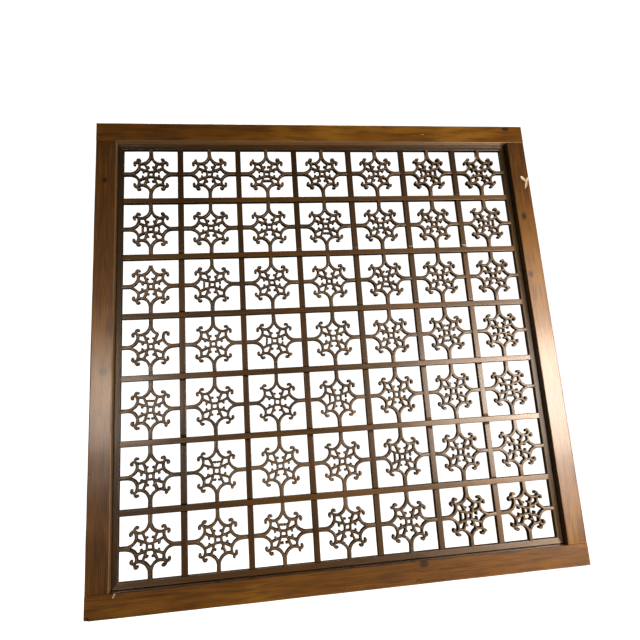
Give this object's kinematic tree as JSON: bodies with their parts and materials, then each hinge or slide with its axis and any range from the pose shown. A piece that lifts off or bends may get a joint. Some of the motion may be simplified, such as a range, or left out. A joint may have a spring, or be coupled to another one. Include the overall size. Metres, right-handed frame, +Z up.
{
  "type": "wooden lattice panel",
  "caption": "Square openwork wooden panel for a window or screen: a recessed grid of lapped bars with a fretwork ornament in every cell, held by a plain outer frame.",
  "frame": {"origin": "middle of the top rail's back face, the face that goes against a wall", "axes": "+Y out of the panel's back, so the front faces -Y; +Z up along the stiles; +X to the right seen from the front"},
  "size_m": [0.9946, 0.038, 0.9946],
  "materials": {
    "board_wood": "satin brown stained fir with worn arrises and knots",
    "strip_wood": "satin dark brown stain",
    "bar_wood": "satin brown stain, paler where rubbed",
    "carved_wood": "dull grey-brown stain, rubbed paler on the front"
  },
  "bodies": {
    "root": {"top_rail": "board_wood", "bottom_rail": "board_wood", "left_stile": "board_wood", "right_stile": "board_wood", "inner_strip_top": "strip_wood", "inner_strip_left": "strip_wood", "inner_strip_bottom": "strip_wood", "inner_strip_right": "strip_wood", "vertical_bar_1": "bar_wood", "vertical_bar_2": "bar_wood", "vertical_bar_3": "bar_wood", "vertical_bar_4": "bar_wood", "vertical_bar_5": "bar_wood", "vertical_bar_6": "bar_wood", "horizontal_bar_1": "bar_wood", "horizontal_bar_2": "bar_wood", "horizontal_bar_3": "bar_wood", "horizontal_bar_4": "bar_wood", "horizontal_bar_5": "bar_wood", "horizontal_bar_6": "bar_wood", "ornament_row_1": "carved_wood", "ornament_2_1": "carved_wood", "ornament_2_2": "carved_wood", "ornament_2_3": "carved_wood", "ornament_2_4": "carved_wood", "ornament_2_5": "carved_wood", "ornament_2_6": "carved_wood", "ornament_2_7": "carved_wood", "ornament_3_1": "carved_wood", "ornament_3_2": "carved_wood", "ornament_3_3": "carved_wood", "ornament_3_4": "carved_wood", "ornament_3_5": "carved_wood", "ornament_3_6": "carved_wood", "ornament_3_7": "carved_wood", "ornament_4_1": "carved_wood", "ornament_4_2": "carved_wood", "ornament_4_3": "carved_wood", "ornament_4_4": "carved_wood", "ornament_4_5": "carved_wood", "ornament_4_6": "carved_wood", "ornament_4_7": "carved_wood", "ornament_5_1": "carved_wood", "ornament_5_2": "carved_wood", "ornament_5_3": "carved_wood", "ornament_5_4": "carved_wood", "ornament_5_5": "carved_wood", "ornament_5_6": "carved_wood", "ornament_5_7": "carved_wood", "ornament_6_1": "carved_wood", "ornament_6_2": "carved_wood", "ornament_6_3": "carved_wood", "ornament_6_4": "carved_wood", "ornament_6_5": "carved_wood", "ornament_6_6": "carved_wood", "ornament_6_7": "carved_wood", "ornament_row_7": "carved_wood"}
  },
  "joints": []
}
